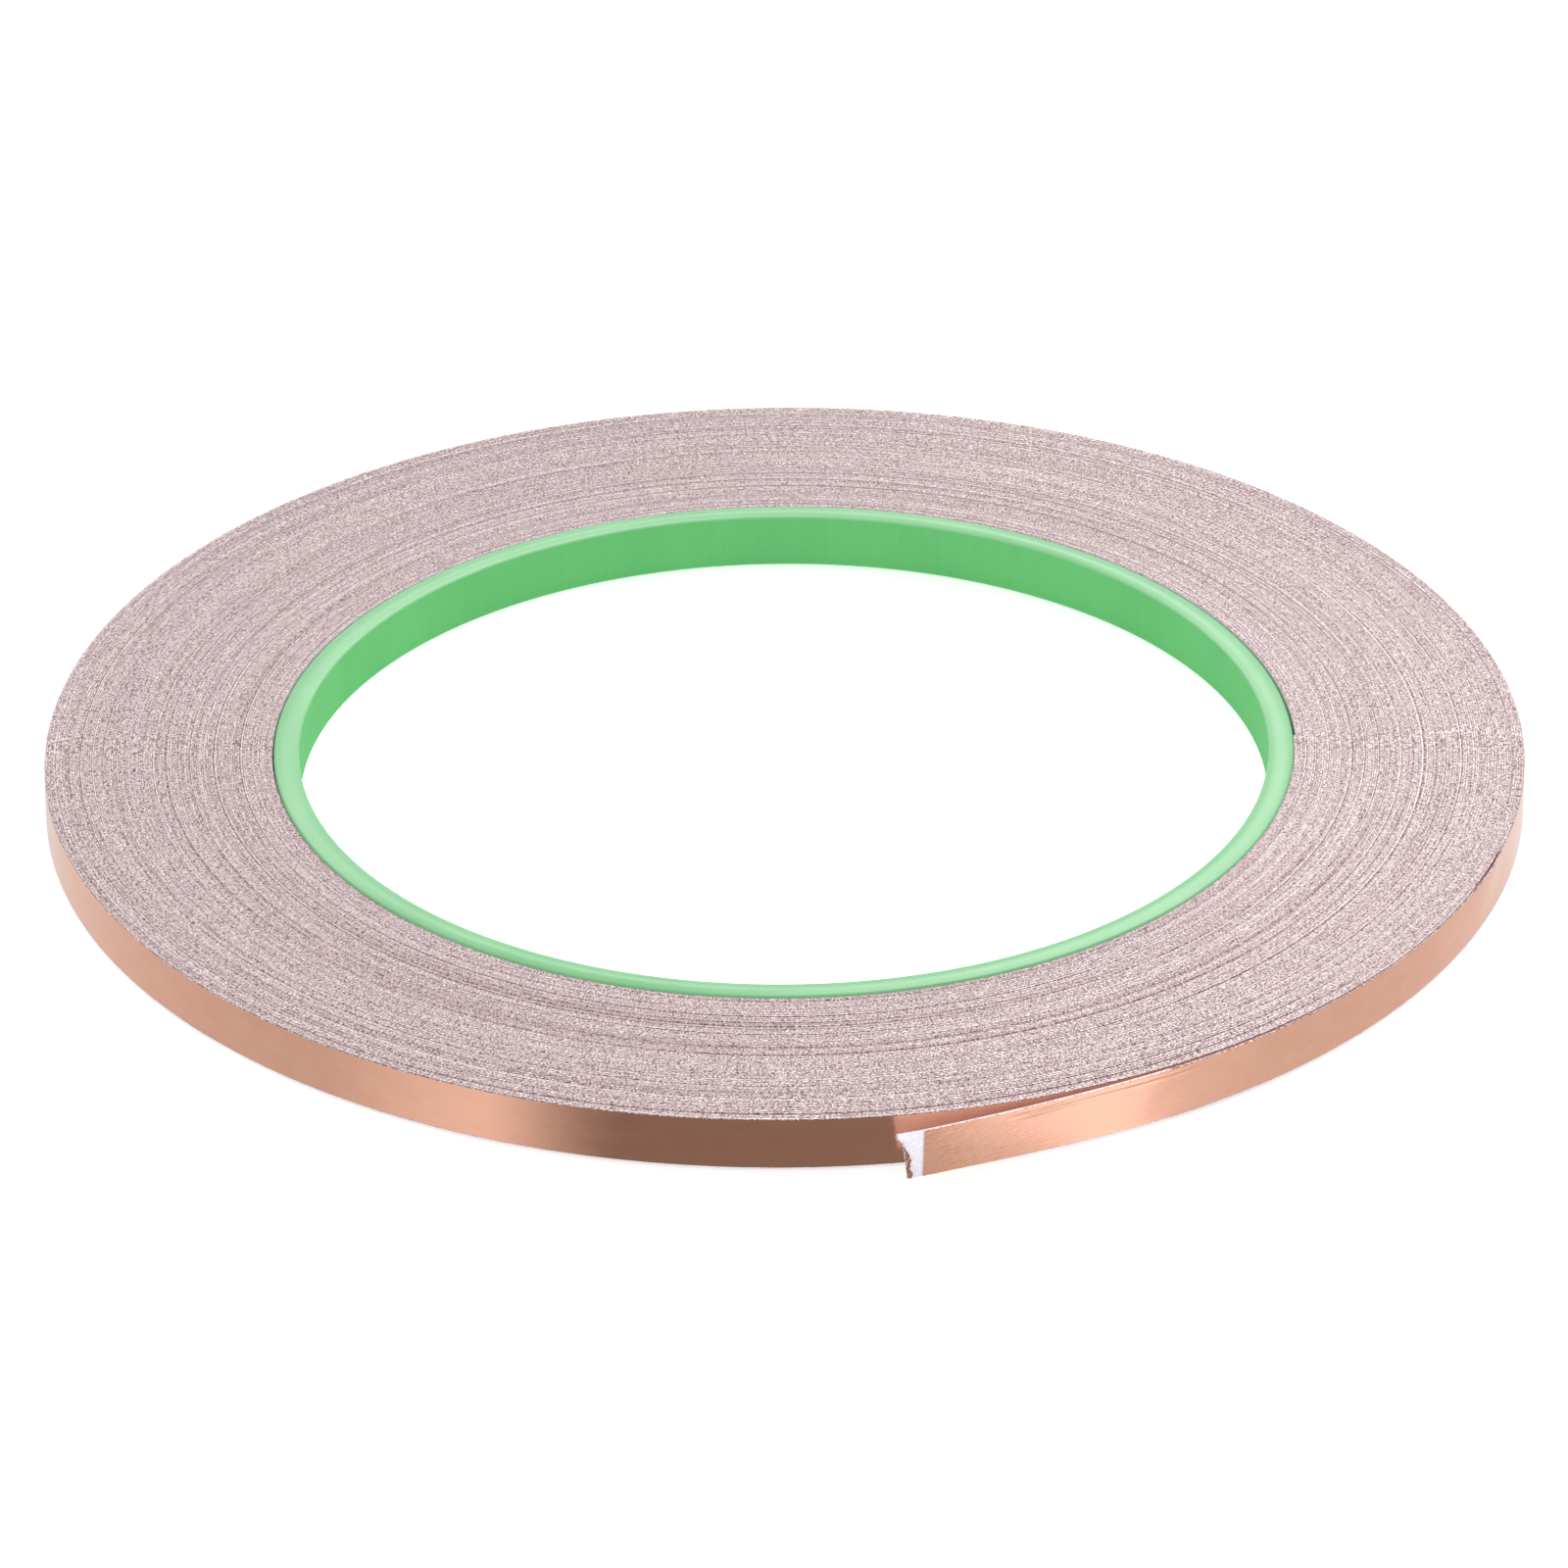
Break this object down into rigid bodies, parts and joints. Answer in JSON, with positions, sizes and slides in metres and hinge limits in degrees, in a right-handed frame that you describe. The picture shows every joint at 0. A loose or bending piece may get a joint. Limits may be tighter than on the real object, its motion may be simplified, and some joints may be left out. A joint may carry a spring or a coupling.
{
  "type": "copper foil tape roll",
  "caption": "Flat roll of narrow paper-backed copper foil tape on a thin round plastic core, with a lifted free end that bends outwards.",
  "frame": {"origin": "on the core's axis, at mid height of the core", "axes": "+Z along the core's axis, -Y towards the tape's free end; seen from above the tape is wound clockwise"},
  "size_m": [0.1159, 0.1183, 0.0046],
  "materials": {
    "green_core": "satin moulded plastic, pale mint green",
    "paper_liner": "smooth white release paper",
    "clear_adhesive": "clear tacky acrylic",
    "copper_foil": "bright rolled copper foil, fine lengthwise grain"
  },
  "bodies": {
    "roll": {"core": "green_core", "liner_winding": "paper_liner", "adhesive_winding": "clear_adhesive", "foil_band_1": "copper_foil", "foil_band_1_outer": "copper_foil", "foil_band_2": "copper_foil", "foil_band_2_outer": "copper_foil", "foil_band_3": "copper_foil", "foil_band_3_outer": "copper_foil", "liner_loose_wrap": "paper_liner", "adhesive_loose_wrap": "clear_adhesive", "foil_loose_wrap": "copper_foil"},
    "tail_1": {"liner_tail_1": "paper_liner", "adhesive_tail_1": "clear_adhesive", "foil_tail_1": "copper_foil"},
    "tail_2": {"liner_tail_2": "paper_liner", "adhesive_tail_2": "clear_adhesive", "foil_tail_2": "copper_foil"},
    "tail_3": {"liner_tail_3": "paper_liner", "adhesive_tail_3": "clear_adhesive", "foil_tail_3": "copper_foil"},
    "tail_4": {"liner_tail_4": "paper_liner", "adhesive_tail_4": "clear_adhesive", "foil_tail_4": "copper_foil"},
    "liner_end": {"liner_tab": "paper_liner", "adhesive_scrap": "clear_adhesive", "foil_scrap": "copper_foil"}
  },
  "joints": [
    {"name": "tail_bend_1", "type": "hinge", "parent": "roll", "child": "tail_1", "pos_m": [0.02651, -0.05196, 0], "axis": [0, 0, 1], "range_deg": [-2.4, 20]},
    {"name": "tail_bend_2", "type": "hinge", "parent": "tail_1", "child": "tail_2", "pos_m": [0.02251, -0.05402, 0], "axis": [0, 0, 1], "range_deg": [-2.4, 20]},
    {"name": "tail_bend_3", "type": "hinge", "parent": "tail_2", "child": "tail_3", "pos_m": [0.01844, -0.05596, 0], "axis": [0, 0, 1], "range_deg": [-2.4, 20]},
    {"name": "tail_bend_4", "type": "hinge", "parent": "tail_3", "child": "tail_4", "pos_m": [0.01432, -0.05778, 0], "axis": [0, 0, 1], "range_deg": [-2.4, 20]},
    {"name": "liner_tab_fold", "type": "hinge", "parent": "tail_4", "child": "liner_end", "pos_m": [0.01014, -0.05944, 0], "axis": [0, 0, 1], "range_deg": [-4, 60]}
  ],
  "couplings": [
    {"joint": "tail_bend_2", "follows": "tail_bend_1", "ratio": 1},
    {"joint": "tail_bend_3", "follows": "tail_bend_1", "ratio": 1},
    {"joint": "tail_bend_4", "follows": "tail_bend_1", "ratio": 1}
  ]
}
